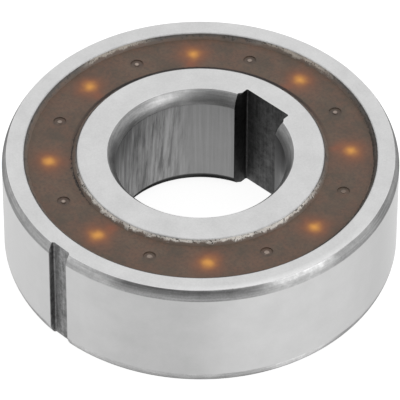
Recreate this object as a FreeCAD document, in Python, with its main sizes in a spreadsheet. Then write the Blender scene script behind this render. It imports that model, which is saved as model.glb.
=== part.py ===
"""One-way sprag clutch with its own ball bearing, 15 x 35 x 11 mm, as separate pieces.

Frame: +Z along the common axis, z = 0 on the lower faces of the two rings, origin on the axis.
Outer keyway towards -Y. Eight balls and eight sprags take turns round one moulded cage.
"""

import FreeCAD, Part
import math
import os
import Sketcher

SHEET = "Dims"

# Driving dimensions, millimetres and degrees
DIMENSIONS = (
    # The two rings: radial walls and the space between the tracks add up to 35 mm outside
    ("bore_dia", 15.0),
    ("inner_wall", 3.41),
    ("track_space", 4.65),
    ("outer_wall", 1.94),
    ("ring_width", 11.0),
    ("corner_across", 0.4),
    ("corner_along", 1.0),
    ("corner_arc", 2.2),
    ("bore_corner_across", 0.75),
    ("bore_corner_along", 1.25),
    ("bore_corner_arc", 2.2),
    ("track_edge_break", 0.08),
    # Keyways
    ("bore_key_width", 5.0),
    ("bore_key_depth", 1.3),
    ("bore_key_turn", 2.2),
    ("outer_key_width", 2.0),
    ("outer_key_depth", 0.6),
    ("key_corner_round", 0.15),
    # Balls and their grooves
    ("ball_dia", 5.556),
    ("ball_count", 8),
    ("ball_phase", 3.1),
    ("groove_conformity", 0.52),
    ("ball_play", 0.015),
    # Sprags, seen along the axis with the outer ring upwards
    ("sprag_length", 7.5),
    ("outer_cam_radius", 2.3),
    ("inner_cam_radius", 1.9),
    ("outer_cam_shift", 0.154),
    ("inner_cam_shift", 0.149),
    ("sprag_play", 0.016),
    ("head_left", 1.25),
    ("head_right", 1.12),
    ("foot_left", 1.15),
    ("foot_right", 1.1),
    ("head_side", 1.4),
    ("foot_side", 1.0),
    ("waist_radius", 3.0),
    # Leaf springs
    ("spring_thickness", 0.1),
    ("spring_bow", 0.1),
    ("spring_height", 1.2),
    ("spring_end_gap", 0.2),
    ("spring_tab", 0.7),
    ("spring_level", 1.6),
    # Cage in two halves
    ("cage_gap", 0.16),
    ("cage_recess", 0.48),
    ("cage_edge_break", 0.12),
    ("ball_pocket_gap", 0.06),
    ("sprag_end_gap", 0.05),
    ("sprag_left_gap", 0.25),
    ("sprag_spring_travel", 0.3),
    ("peg_dia", 0.7),
    ("peg_length", 1.2),
    ("peg_play", 0.03),
    ("peg_wall", 0.22),
    ("peg_rim", 0.29),
    ("dimple_dia", 1.15),
    ("dimple_depth", 0.1),
    ("nib_dia", 0.42),
    ("nib_height", 0.07),
)


class Size:
    """A number together with the sheet expression that gives it."""

    def __init__(self, value, text):
        self.value = float(value)
        self.text = text

    def join(self, sign, other, value):
        return Size(value, "(%s %s %s)" % (self.text, sign, other.text))

    def __add__(self, other):
        other = as_size(other)
        return self.join("+", other, self.value + other.value)

    def __sub__(self, other):
        other = as_size(other)
        return self.join("-", other, self.value - other.value)

    def __mul__(self, other):
        other = as_size(other)
        return self.join("*", other, self.value * other.value)

    def __truediv__(self, other):
        other = as_size(other)
        return self.join("/", other, self.value / other.value)

    def __neg__(self):
        return Size(-self.value, "(0 - %s)" % self.text)


def as_size(number):
    if isinstance(number, Size):
        return number
    return Size(number, repr(float(number)))


def root(size):
    return Size(math.sqrt(size.value), "sqrt(%s)" % size.text)


def sine(angle):
    return Size(math.sin(math.radians(angle.value)), "sin(%s)" % angle.text)


def cosine(angle):
    return Size(math.cos(math.radians(angle.value)), "cos(%s)" % angle.text)


def other_leg(long_side, leg):
    """Second leg of a right-angled triangle."""
    return root(long_side * long_side - leg * leg)


ZERO = as_size(0)


def make_sheet(doc):
    sheet = doc.addObject("Spreadsheet::Sheet", SHEET)
    for row, (name, value) in enumerate(DIMENSIONS, start=1):
        sheet.set("A%d" % row, name)
        sheet.set("B%d" % row, repr(value))
        sheet.setAlias("B%d" % row, name)
    doc.recompute()
    return sheet


def dim(name):
    value = dict(DIMENSIONS)[name]
    return Size(value, "%s.%s" % (SHEET, name))


def bind(thing, path, size):
    thing.setExpression(path, size.text)


def origin_item(body, role):
    for item in body.Origin.OriginFeatures:
        if item.Role == role:
            return item
    raise ValueError(role)


def new_body(doc, label):
    body = doc.addObject("PartDesign::Body", label)
    body.Label = label
    return body


def new_sketch(body, name, plane, lift=None):
    """Sketch on one of the body's own planes, moved along the plane's normal by lift."""
    sketch = body.newObject("Sketcher::SketchObject", name)
    sketch.AttachmentSupport = (origin_item(body, plane), [""])
    sketch.MapMode = "FlatFace"
    if lift is not None:
        bind(sketch, "AttachmentOffset.Base.z", lift)
    return sketch


def fix_point(sketch, piece, end, x, y):
    """Hold one point of a sketch at sheet sizes from the sketch's origin."""
    for kind, size in (("DistanceX", x), ("DistanceY", y)):
        index = sketch.addConstraint(Sketcher.Constraint(kind, -1, 1, piece, end, size.value))
        bind(sketch, "Constraints[%d]" % index, size)


def fix_radius(sketch, piece, radius):
    index = sketch.addConstraint(Sketcher.Constraint("Radius", piece, radius.value))
    bind(sketch, "Constraints[%d]" % index, radius)


def draw_circle(sketch, x, y, radius):
    centre = FreeCAD.Vector(x.value, y.value, 0)
    circle = Part.Circle(centre, FreeCAD.Vector(0, 0, 1), radius.value)
    piece = sketch.addGeometry(circle, False)
    fix_point(sketch, piece, 3, x, y)
    fix_radius(sketch, piece, radius)


def arc_through(start, end, radius, bulge):
    """Arc from start to end that swells to the right of the way for bulge 1, left for -1."""
    way = end - start
    half = way.Length / 2
    across = FreeCAD.Vector(way.y, -way.x, 0).normalize() * bulge
    rise = radius - math.sqrt(radius * radius - half * half)
    return Part.Arc(start, (start + end) / 2 + across * rise, end)


def draw_outline(sketch, corners, arcs=None):
    """Closed outline through the corners. arcs gives an edge's number its radius and bulge."""
    arcs = arcs or {}
    points = [FreeCAD.Vector(x.value, y.value, 0) for x, y in corners]
    last = len(points) - 1
    ends = []
    for number, start in enumerate(points):
        end = points[0 if number == last else number + 1]
        if number in arcs:
            radius, bulge = arcs[number]
            piece = sketch.addGeometry(arc_through(start, end, radius.value, bulge), False)
            first = sketch.getPoint(piece, 1)
            runs_on = first.distanceToPoint(start) < first.distanceToPoint(end)
            ends.append((piece, 1, 2) if runs_on else (piece, 2, 1))
            fix_radius(sketch, piece, radius)
        else:
            piece = sketch.addGeometry(Part.LineSegment(start, end), False)
            ends.append((piece, 1, 2))
    for number, (piece, first, final) in enumerate(ends):
        following = ends[0 if number == last else number + 1]
        sketch.addConstraint(Sketcher.Constraint("Coincident", piece, final, following[0], following[1]))
        fix_point(sketch, piece, first, *corners[number])


def revolve(body, sketch, name="Turned"):
    feature = body.newObject("PartDesign::Revolution", name)
    feature.Profile = sketch
    feature.ReferenceAxis = (sketch, ["V_Axis"])
    feature.Angle = 360
    return feature


def pad(body, sketch, length, name, up=True, both_ways=False):
    feature = body.newObject("PartDesign::Pad", name)
    feature.Profile = sketch
    bind(feature, "Length", length)
    if both_ways:
        feature.SideType = "Symmetric"
    feature.Reversed = not up
    return feature


def pocket(body, sketch, length, name, up=True):
    feature = body.newObject("PartDesign::Pocket", name)
    feature.Profile = sketch
    bind(feature, "Length", length)
    feature.Reversed = up
    return feature


def repeat_round(body, feature, name):
    """The feature once for each ball, evenly round the axis."""
    pattern = body.newObject("PartDesign::PolarPattern", name)
    pattern.Originals = [feature]
    pattern.Axis = (origin_item(body, "Z_Axis"), [""])
    pattern.Angle = 360
    bind(pattern, "Occurrences", dim("ball_count"))
    body.Tip = pattern
    return pattern


def place(thing, x, y, z, turn=ZERO):
    """Put a piece in the assembly, turned about its own upright axis."""
    axis = FreeCAD.Vector(0, 0, 1)
    spot = FreeCAD.Vector(x.value, y.value, z.value)
    thing.Placement = FreeCAD.Placement(spot, FreeCAD.Rotation(axis, turn.value))
    for letter, size in (("x", x), ("y", y), ("z", z)):
        bind(thing, "Placement.Base." + letter, size)
    if turn is not ZERO:
        bind(thing, "Placement.Rotation.Angle", turn)


# Sizes that several pieces share
MIDDLE = dim("ring_width") / 2
BORE_R = dim("bore_dia") / 2
INNER_TRACK_R = BORE_R + dim("inner_wall")
PITCH_R = INNER_TRACK_R + dim("track_space") / 2
OUTER_TRACK_R = INNER_TRACK_R + dim("track_space")
OUTSIDE_R = OUTER_TRACK_R + dim("outer_wall")
BALL_R = dim("ball_dia") / 2
GROOVE_R = dim("ball_dia") * dim("groove_conformity")
BALL_STEP = as_size(360) / dim("ball_count")
FIRST_SPRAG = dim("ball_phase") + BALL_STEP / 2

# Centres of the two cam arcs, as radii from the axis, and the pivot midway between them
OUTER_CAM_R = OUTER_TRACK_R - dim("sprag_play") - dim("outer_cam_radius")
INNER_CAM_R = INNER_TRACK_R + dim("sprag_play") + dim("inner_cam_radius")
OUTER_CAM_Y = other_leg(OUTER_CAM_R, dim("outer_cam_shift"))
INNER_CAM_Y = other_leg(INNER_CAM_R, dim("inner_cam_shift"))
PIVOT_R = (OUTER_CAM_Y + INNER_CAM_Y) / 2

# The cage's turned shape and the walls of its sprag pockets
CAGE_INNER_R = INNER_TRACK_R + dim("cage_gap")
CAGE_OUTER_R = OUTER_TRACK_R - dim("cage_gap")
CAGE_HALF = MIDDLE - dim("cage_recess")
POCKET_LEFT = dim("head_left") + dim("sprag_left_gap")
SPRING_ROOM = dim("spring_thickness") + dim("spring_bow")
POCKET_RIGHT = dim("head_right") + dim("sprag_spring_travel") + SPRING_ROOM
POCKET_HALF = dim("sprag_length") / 2 + dim("sprag_end_gap")


def groove_half_width(track_r, centre_r):
    return other_leg(GROOVE_R, track_r - centre_r)


def cut_keyway(body, name, width, floor, outward):
    """Keyway along the whole width, its floor at the given distance from the axis."""
    half = width / 2
    corner = dim("key_corner_round")
    if outward > 0:
        mouth = BORE_R / 2
        inset = floor - corner
        bulge = 1
    else:
        mouth = OUTSIDE_R + 1
        inset = floor + corner
        bulge = -1
        floor, inset, mouth = -floor, -inset, -mouth
    corners = [
        (-half, mouth),
        (half, mouth),
        (half, inset),
        (half - corner, floor),
        (-half + corner, floor),
        (-half, inset),
    ]
    sketch = new_sketch(body, name + "Sketch", "XY_Plane")
    draw_outline(sketch, corners, {2: (corner, bulge), 4: (corner, bulge)})
    feature = pocket(body, sketch, dim("ring_width"), name)
    body.Tip = feature


def make_outer_ring(doc):
    body = new_body(doc, "outer_ring")
    width = dim("ring_width")
    across = dim("corner_across")
    along = dim("corner_along")
    edge = dim("track_edge_break")
    centre_r = PITCH_R + BALL_R + dim("ball_play") - GROOVE_R
    half = groove_half_width(OUTER_TRACK_R, centre_r)
    corners = [
        (OUTER_TRACK_R + edge, ZERO),
        (OUTSIDE_R - across, ZERO),
        (OUTSIDE_R, along),
        (OUTSIDE_R, width - along),
        (OUTSIDE_R - across, width),
        (OUTER_TRACK_R + edge, width),
        (OUTER_TRACK_R, width - edge),
        (OUTER_TRACK_R, MIDDLE + half),
        (OUTER_TRACK_R, MIDDLE - half),
        (OUTER_TRACK_R, edge),
    ]
    turned = (dim("corner_arc"), 1)
    arcs = {1: turned, 3: turned, 7: (GROOVE_R, -1)}
    sketch = new_sketch(body, "OuterRingSection", "XZ_Plane")
    draw_outline(sketch, corners, arcs)
    revolve(body, sketch)
    floor = OUTSIDE_R - dim("outer_key_depth")
    cut_keyway(body, "OuterKeyway", dim("outer_key_width"), floor, -1)
    return body


def make_inner_ring(doc):
    body = new_body(doc, "inner_ring")
    width = dim("ring_width")
    across = dim("bore_corner_across")
    along = dim("bore_corner_along")
    edge = dim("track_edge_break")
    centre_r = PITCH_R - BALL_R - dim("ball_play") + GROOVE_R
    half = groove_half_width(INNER_TRACK_R, centre_r)
    corners = [
        (BORE_R + across, ZERO),
        (INNER_TRACK_R - edge, ZERO),
        (INNER_TRACK_R, edge),
        (INNER_TRACK_R, MIDDLE - half),
        (INNER_TRACK_R, MIDDLE + half),
        (INNER_TRACK_R, width - edge),
        (INNER_TRACK_R - edge, width),
        (BORE_R + across, width),
        (BORE_R, width - along),
        (BORE_R, along),
    ]
    turned = (dim("bore_corner_arc"), 1)
    sketch = new_sketch(body, "InnerRingSection", "XZ_Plane")
    draw_outline(sketch, corners, {3: (GROOVE_R, -1), 7: turned, 9: turned})
    revolve(body, sketch)
    floor = BORE_R + dim("bore_key_depth")
    cut_keyway(body, "BoreKeyway", dim("bore_key_width"), floor, 1)
    place(body, ZERO, ZERO, ZERO, dim("bore_key_turn"))
    return body


def make_cage_turning(body, side):
    """Turned ring of one cage half, from the split plane to its end face. side is 1 or -1."""
    edge = dim("cage_edge_break")
    end = CAGE_HALF * side
    shoulder = (CAGE_HALF - edge) * side
    corners = [
        (CAGE_INNER_R, ZERO),
        (CAGE_OUTER_R, ZERO),
        (CAGE_OUTER_R, shoulder),
        (CAGE_OUTER_R - edge, end),
        (CAGE_INNER_R + edge, end),
        (CAGE_INNER_R, shoulder),
    ]
    sketch = new_sketch(body, "CageSection", "XZ_Plane")
    draw_outline(sketch, corners)
    revolve(body, sketch)


def cut_ball_pockets(body, side):
    """Ball seats half a step away from the sprag on the local +Y axis, drawn straight out of the mould.

    Each is a straight wall round the ball's middle, then a 45 degree cone up to a flat roof,
    all three the same small gap from the ball.
    """
    seat_r = BALL_R + dim("ball_pocket_gap")
    cone_z = seat_r * root(as_size(2)) - seat_r
    roof = seat_r * side
    sketch = new_sketch(body, "BallSeatSection", "XZ_Plane")
    bind(sketch, "AttachmentOffset.Base.x", PITCH_R * sine(BALL_STEP / 2))
    bind(sketch, "AttachmentOffset.Base.z", -PITCH_R * cosine(BALL_STEP / 2))
    corners = [
        (ZERO, ZERO),
        (seat_r, ZERO),
        (seat_r, cone_z * side),
        (cone_z, roof),
        (ZERO, roof),
    ]
    draw_outline(sketch, corners)
    feature = body.newObject("PartDesign::Groove", "BallSeat")
    feature.Profile = sketch
    feature.ReferenceAxis = (sketch, ["V_Axis"])
    feature.Angle = 360
    repeat_round(body, feature, "BallSeats")


def cut_sprag_pockets(body, side):
    """Straight-walled pockets, open to both tracks, with an end wall left under each."""
    corners = [
        (-POCKET_LEFT, CAGE_INNER_R / 2),
        (POCKET_RIGHT, CAGE_INNER_R / 2),
        (POCKET_RIGHT, CAGE_OUTER_R + 1),
        (-POCKET_LEFT, CAGE_OUTER_R + 1),
    ]
    sketch = new_sketch(body, "SpragPocketSketch", "XY_Plane")
    draw_outline(sketch, corners)
    feature = pocket(body, sketch, POCKET_HALF, "SpragPocket", up=side > 0)
    repeat_round(body, feature, "SpragPockets")


def cut_dimples(body, side):
    """Shallow round marks of the mould in the end face, each with its nib, over the sprags."""
    face = CAGE_HALF * side
    sketch = new_sketch(body, "DimpleSketch", "XY_Plane", face)
    draw_circle(sketch, ZERO, PITCH_R, dim("dimple_dia") / 2)
    draw_circle(sketch, ZERO, PITCH_R, dim("nib_dia") / 2)
    feature = pocket(body, sketch, dim("dimple_depth"), "Dimple", up=side < 0)
    repeat_round(body, feature, "Dimples")
    sketch = new_sketch(body, "NibSketch", "XY_Plane", face)
    draw_circle(sketch, ZERO, PITCH_R, dim("nib_dia") / 2)
    feature = pocket(body, sketch, dim("dimple_depth") - dim("nib_height"), "NibTop", up=side < 0)
    repeat_round(body, feature, "NibTops")


def peg_place():
    socket_r = dim("peg_dia") / 2 + dim("peg_play")
    x = POCKET_LEFT + dim("peg_wall") + socket_r
    y = other_leg(CAGE_OUTER_R - dim("peg_rim") - socket_r, x)
    return -x, y


def make_cage_half(doc, label, side):
    body = new_body(doc, label)
    make_cage_turning(body, side)
    cut_ball_pockets(body, side)
    cut_sprag_pockets(body, side)
    cut_dimples(body, side)
    x, y = peg_place()
    sketch = new_sketch(body, "PegSketch", "XY_Plane")
    if side < 0:
        draw_circle(sketch, x, y, dim("peg_dia") / 2)
        feature = pad(body, sketch, dim("peg_length"), "Peg")
    else:
        draw_circle(sketch, x, y, dim("peg_dia") / 2 + dim("peg_play"))
        feature = pocket(body, sketch, dim("peg_length") + dim("peg_play"), "Socket")
    repeat_round(body, feature, "Pegs" if side < 0 else "Sockets")
    place(body, ZERO, ZERO, MIDDLE, FIRST_SPRAG - 90)
    return body


def make_ball(doc, number):
    label = "ball_%d" % number
    ball = doc.addObject("Part::Sphere", label)
    ball.Label = label
    bind(ball, "Radius", BALL_R)
    angle = dim("ball_phase") + BALL_STEP * (number - 1)
    place(ball, PITCH_R * cosine(angle), PITCH_R * sine(angle), MIDDLE)
    return ball


def sprag_outline():
    """Corners from the head's left end, clockwise round to the left side of the waist."""
    outer_y = OUTER_CAM_Y - PIVOT_R
    inner_y = INNER_CAM_Y - PIVOT_R
    head_shift = dim("outer_cam_shift")
    foot_shift = -dim("inner_cam_shift")
    outer_r = dim("outer_cam_radius")
    inner_r = dim("inner_cam_radius")
    head_left_y = outer_y + other_leg(outer_r, dim("head_left") + head_shift)
    head_right_y = outer_y + other_leg(outer_r, dim("head_right") - head_shift)
    foot_right_y = inner_y - other_leg(inner_r, dim("foot_right") - foot_shift)
    foot_left_y = inner_y - other_leg(inner_r, dim("foot_left") + foot_shift)
    corners = [
        (-dim("head_left"), head_left_y),
        (dim("head_right"), head_right_y),
        (dim("head_right"), dim("head_side")),
        (dim("foot_right"), -dim("foot_side")),
        (dim("foot_right"), foot_right_y),
        (-dim("foot_left"), foot_left_y),
        (-dim("foot_left"), -dim("foot_side")),
        (-dim("head_left"), dim("head_side")),
    ]
    waist = dim("waist_radius")
    arcs = {0: (outer_r, -1), 2: (waist, 1), 4: (inner_r, -1), 6: (waist, 1)}
    return corners, arcs


def make_sprag(doc, number):
    body = new_body(doc, "sprag_%d" % number)
    corners, arcs = sprag_outline()
    sketch = new_sketch(body, "SpragSection", "XY_Plane")
    draw_outline(sketch, corners, arcs)
    pad(body, sketch, dim("sprag_length"), "SpragLength", both_ways=True)
    angle = FIRST_SPRAG + BALL_STEP * (number - 1)
    place(body, PIVOT_R * cosine(angle), PIVOT_R * sine(angle), MIDDLE, angle - 90)
    return body


def make_spring(doc, number):
    """Bowed strip on the pocket's right wall, its two end tabs flat on the wall."""
    body = new_body(doc, "sprag_spring_%d" % number)
    outside = POCKET_RIGHT
    inside = outside - dim("spring_thickness")
    reach = POCKET_HALF - dim("spring_end_gap")
    bend = reach - dim("spring_tab")
    bow = dim("spring_bow")
    bow_r = (bend * bend + bow * bow) / (bow * 2)
    corners = [
        (outside, -reach),
        (outside, -bend),
        (outside, bend),
        (outside, reach),
        (inside, reach),
        (inside, bend),
        (inside, -bend),
        (inside, -reach),
    ]
    sketch = new_sketch(body, "SpringSection", "XZ_Plane")
    draw_outline(sketch, corners, {1: (bow_r, -1), 5: (bow_r, 1)})
    pad(body, sketch, dim("spring_height"), "SpringHeight", both_ways=True)
    angle = FIRST_SPRAG + BALL_STEP * (number - 1)
    middle_r = PIVOT_R + dim("spring_level")
    place(body, middle_r * cosine(angle), middle_r * sine(angle), MIDDLE, angle - 90)
    return body


def build(doc):
    make_sheet(doc)
    pieces = [make_outer_ring(doc), make_inner_ring(doc)]
    pieces.append(make_cage_half(doc, "lower_cage", -1))
    pieces.append(make_cage_half(doc, "upper_cage", 1))
    for number in range(1, int(dim("ball_count").value) + 1):
        pieces.append(make_ball(doc, number))
        pieces.append(make_sprag(doc, number))
        pieces.append(make_spring(doc, number))
    doc.recompute()
    return pieces


def check(doc, pieces):
    """Stop before anything is written if a feature failed or a shape is not sound."""
    for item in doc.Objects:
        if "Invalid" in item.State or "Error" in item.State:
            raise RuntimeError("failed feature: %s (%s)" % (item.Name, item.Label))
    for piece in pieces:
        shape = piece.Shape
        if shape.isNull() or not shape.isValid() or len(shape.Solids) != 1:
            raise RuntimeError("unsound shape: " + piece.Label)


def write(pieces):
    os.makedirs("parts", exist_ok=True)
    for piece in pieces:
        piece.Shape.exportStep(os.path.join("parts", piece.Label + ".step"))


def main():
    doc = FreeCAD.newDocument("SpragClutch")
    pieces = build(doc)
    check(doc, pieces)
    write(pieces)


main()
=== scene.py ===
import math
import random
import bpy
import bmesh
from mathutils import Matrix, Vector


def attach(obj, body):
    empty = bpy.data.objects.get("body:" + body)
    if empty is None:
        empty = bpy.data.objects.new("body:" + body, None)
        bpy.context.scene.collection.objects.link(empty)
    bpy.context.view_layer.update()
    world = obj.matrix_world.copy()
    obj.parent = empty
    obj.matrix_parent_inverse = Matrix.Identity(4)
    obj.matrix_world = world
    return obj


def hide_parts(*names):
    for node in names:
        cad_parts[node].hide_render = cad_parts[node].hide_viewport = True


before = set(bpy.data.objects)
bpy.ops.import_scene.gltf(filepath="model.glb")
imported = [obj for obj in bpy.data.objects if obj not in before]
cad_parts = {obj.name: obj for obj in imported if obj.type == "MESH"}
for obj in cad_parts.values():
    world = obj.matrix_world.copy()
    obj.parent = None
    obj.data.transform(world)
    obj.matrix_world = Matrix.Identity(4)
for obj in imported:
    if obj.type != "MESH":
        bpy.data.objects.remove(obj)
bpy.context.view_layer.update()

MM = 0.001

# The bearing's sizes, in millimetres, as in its CAD frame. The keyways' lips and the edge break are new here
RING_WIDTH = 11.0
OUTSIDE_R = 17.5
OUTER_TRACK_R = 15.56
INNER_TRACK_R = 10.91
BORE_R = 7.5
PITCH_R = 13.235
TRACK_EDGE = 0.08
CORNER = {"across": 0.4, "along": 1.0, "arc": 2.2}
BORE_CORNER = {"across": 0.75, "along": 1.25, "arc": 2.2}
GROOVE_R = 2.889
GROOVE_SHIFT = 0.096
BALL_PHASE = 3.1
BALL_COUNT = 8
CAGE_TOP = 10.52
CAGE_GAP = 0.16
KEY_CORNER = 0.15
OUTER_KEY = {"angle": 270.0, "half_width": 1.0, "floor": 16.9, "inward": 1, "lip": 0.06,
             "finish": "outer_keyway"}
BORE_KEY = {"angle": 92.2, "half_width": 2.5, "floor": 8.8, "inward": -1, "lip": 0.22,
            "finish": "bore_keyway"}
EDGE_BREAK = 0.035
RING_SEGMENTS = 264
CORNER_STEPS = 8
GROOVE_STEPS = 16
KEY_CORNER_STEPS = 4
KEY_FLOOR_STEPS = 5

# Resin that creeps up the rings' walls: running gap to the steel, least and most climb and reach on the cage,
# rounding at its top, thickness and height of its toe, and how far it goes down beside the cage and into it
RIM_GAP = 0.025
RIM_RISE = (0.36, 0.47)
RIM_REACH = (0.31, 0.44)
RIM_ROUND = 0.01
RIM_TOE = 0.04
RIM_LIFT = 0.004
RIM_HANG = 0.22
RIM_OVERLAP = 0.05
RIM_STEPS = 720

# Points nearer than this, in metres, become one, and creases steeper than these, in degrees, stay sharp
MERGE_WITHIN = 2e-7
RING_CREASE = 48
RIM_CREASE = 60

# Unevenness of a rim: how many swings round the ring, and their share
RAGGED_PARTS = ((40, 0.35), (120, 0.35), (340, 0.3))


# Turned rings

def arc_points(centre, radius, start, end, steps):
    """Points (radius, height) of an arc of the section, angles in degrees."""
    points = []
    for step in range(steps + 1):
        angle = math.radians(start + (end - start) * step / steps)
        points.append((centre[0] + radius * math.cos(angle), centre[1] + radius * math.sin(angle)))
    return points


def turned_corner(first, last, radius, steps):
    """Arc from first to last that swells to the right of the way."""
    way = Vector((last[0] - first[0], last[1] - first[1]))
    half = way.length / 2
    across = Vector((way.y, -way.x)).normalized()
    centre = Vector(first) + way / 2 - across * math.sqrt(radius * radius - half * half)
    start = math.degrees(math.atan2(first[1] - centre.y, first[0] - centre.x))
    sweep = math.degrees(2 * math.asin(half / radius))
    return arc_points(centre, radius, start, start + sweep, steps)


def ball_groove(track_r, side, steps):
    """Groove in a track.

    side is 1 in the outer ring, from the top down, and -1 in the inner ring, from the bottom up.
    """
    centre = (PITCH_R - side * GROOVE_SHIFT, RING_WIDTH / 2)
    half = math.degrees(math.acos((track_r - centre[0]) * side / GROOVE_R))
    middle = 0.0 if side > 0 else 180.0
    return arc_points(centre, GROOVE_R, middle + half, middle - half, steps)


def mirrored(points):
    return [(r, RING_WIDTH - z) for r, z in reversed(points)]


def outer_ring_section():
    """The outer ring's section, as stretches of (finish, points, whether the keyway cuts it)."""
    face_r = OUTSIDE_R - CORNER["across"]
    low_corner = turned_corner((face_r, 0.0), (OUTSIDE_R, CORNER["along"]), CORNER["arc"], CORNER_STEPS)
    low_face = [(OUTER_TRACK_R + TRACK_EDGE, 0.0), (face_r, 0.0)]
    groove = ball_groove(OUTER_TRACK_R, side=1, steps=GROOVE_STEPS)
    low_edge = [(OUTER_TRACK_R, TRACK_EDGE), (OUTER_TRACK_R + TRACK_EDGE, 0.0)]
    return [
        ("face", low_face, False),
        ("corner", low_corner, True),
        ("outside", [low_corner[-1], (OUTSIDE_R, RING_WIDTH - CORNER["along"])], True),
        ("corner", mirrored(low_corner), True),
        ("face", mirrored(low_face), False),
        ("track_edge", mirrored(low_edge), False),
        ("track", [(OUTER_TRACK_R, RING_WIDTH - TRACK_EDGE), groove[0]], False),
        ("track", groove, False),
        ("track", [groove[-1], (OUTER_TRACK_R, TRACK_EDGE)], False),
        ("track_edge", low_edge, False),
    ]


def inner_ring_section():
    """The inner ring's section, as stretches of (finish, points, whether the keyway cuts it)."""
    face_r = BORE_R + BORE_CORNER["across"]
    foot = (BORE_R, BORE_CORNER["along"])
    low_corner = turned_corner(foot, (face_r, 0.0), BORE_CORNER["arc"], CORNER_STEPS)
    low_face = [(face_r, 0.0), (INNER_TRACK_R - TRACK_EDGE, 0.0)]
    low_edge = [(INNER_TRACK_R - TRACK_EDGE, 0.0), (INNER_TRACK_R, TRACK_EDGE)]
    groove = ball_groove(INNER_TRACK_R, side=-1, steps=GROOVE_STEPS)
    return [
        ("face", low_face, False),
        ("track_edge", low_edge, False),
        ("track", [(INNER_TRACK_R, TRACK_EDGE), groove[0]], False),
        ("track", groove, False),
        ("track", [groove[-1], (INNER_TRACK_R, RING_WIDTH - TRACK_EDGE)], False),
        ("track_edge", mirrored(low_edge), False),
        ("face", mirrored(low_face), False),
        ("bore_corner", mirrored(low_corner), True),
        ("bore", [(BORE_R, RING_WIDTH - BORE_CORNER["along"]), (BORE_R, BORE_CORNER["along"])], True),
        ("bore_corner", low_corner, True),
    ]


# Finish of the small break between two stretches, where it isn't a bright edge
BREAK_FINISHES = {("corner", "outside"): "corner", ("outside", "corner"): "corner",
                  ("face", "track_edge"): "track_edge", ("track_edge", "face"): "track_edge",
                  ("track", "track_edge"): "track_edge", ("track_edge", "track"): "track_edge",
                  ("bore_corner", "bore"): "bore", ("bore", "bore_corner"): "bore"}


def broken_section(stretches):
    """One closed list of points, with a small edge break where two stretches meet.

    Gives the points, the finish from each to the next, and whether the keyway cuts each.
    """
    points, finishes, cut = [], [], []
    count = len(stretches)
    for number, (finish, stretch, keyed) in enumerate(stretches):
        before = stretches[number - 1]
        after = stretches[(number + 1) % count]
        start, follow = Vector(stretch[0]), Vector(stretch[1])
        end, lead = Vector(stretch[-1]), Vector(stretch[-2])
        start = start + (follow - start).normalized() * EDGE_BREAK
        end = end + (lead - end).normalized() * EDGE_BREAK
        middle = [Vector(point) for point in stretch[1:-1]]
        for place, point in enumerate([start] + middle + [end]):
            points.append((point.x, point.y))
            cut.append(keyed or (place == 0 and before[2]) or (place > len(middle) and after[2]))
            finishes.append(finish)
        finishes[-1] = BREAK_FINISHES.get((finish, after[0]), "edge")
    return points, finishes, cut


def key_outline(key):
    """Keyway across the ring, as (across, out from the axis), from one wall to the other.

    The first and last points are the walls' tops, whose height follows the ring's surface.
    """
    half, floor, rise = key["half_width"], key["floor"], KEY_CORNER * key["inward"]
    side = half - KEY_CORNER
    right = [(half, None)]
    for step in range(KEY_CORNER_STEPS + 1):
        angle = math.radians(90 * step / KEY_CORNER_STEPS)
        right.append((side + KEY_CORNER * math.cos(angle), floor + rise - rise * math.sin(angle)))
    right += [(side * (1 - step / KEY_FLOOR_STEPS), floor) for step in range(1, KEY_FLOOR_STEPS + 1)]
    left = [(-x, y) for x, y in right[:-1]]
    return left + list(reversed(right))


def add_object(name, data):
    thing = bpy.data.objects.new(name, data)
    bpy.context.scene.collection.objects.link(thing)
    return thing


def add_shape(name, mesh, crease):
    """Object made from a bmesh, smooth but for creases steeper than the given degrees."""
    bmesh.ops.recalc_face_normals(mesh, faces=mesh.faces)
    data = bpy.data.meshes.new(name)
    mesh.to_mesh(data)
    mesh.free()
    data.set_sharp_from_angle(angle=math.radians(crease))
    return add_object(name, data)


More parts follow.
